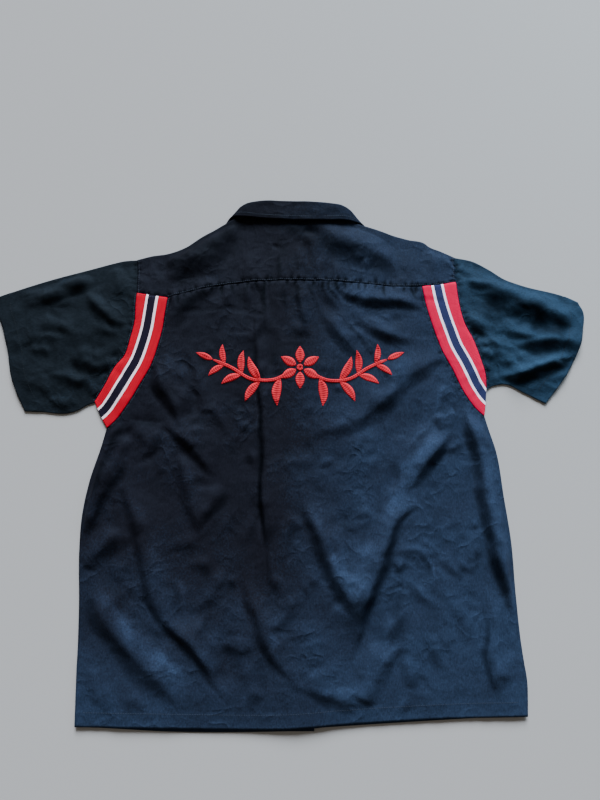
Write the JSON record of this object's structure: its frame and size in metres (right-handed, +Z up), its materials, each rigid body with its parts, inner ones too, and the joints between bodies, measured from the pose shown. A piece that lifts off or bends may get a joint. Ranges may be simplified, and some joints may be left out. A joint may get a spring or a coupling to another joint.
{
  "type": "bowling shirt",
  "caption": "Short-sleeved bowling shirt lying flat and face down, with a back yoke, an open collar, a buttoned front and a striped knit band behind each armhole.",
  "frame": {"origin": "on the surface that the shirt lies on, under the middle of its outline", "axes": "+X from the wearer's left sleeve to the right one, +Y from the hem to the collar, +Z up, away from the surface, through the back of the shirt"},
  "size_m": [0.8851, 0.7592, 0.0187],
  "materials": {
    "cloth": "blue-black polyester twill with a soft low sheen",
    "sleeve_cloth": "the same twill, a shade greener",
    "rib_knit": "matt rib knit, red with two white stripes about a navy one",
    "button": "polished dark polyester"
  },
  "bodies": {
    "root": {"back_body": "cloth", "back_yoke": "cloth", "collar": "cloth", "front_left": "cloth", "front_right": "cloth", "sleeve_left": "sleeve_cloth", "sleeve_right": "sleeve_cloth", "band_left": "rib_knit", "band_right": "rib_knit", "button_1": "button", "button_2": "button", "button_3": "button", "button_4": "button", "button_5": "button", "button_6": "button"}
  },
  "joints": []
}
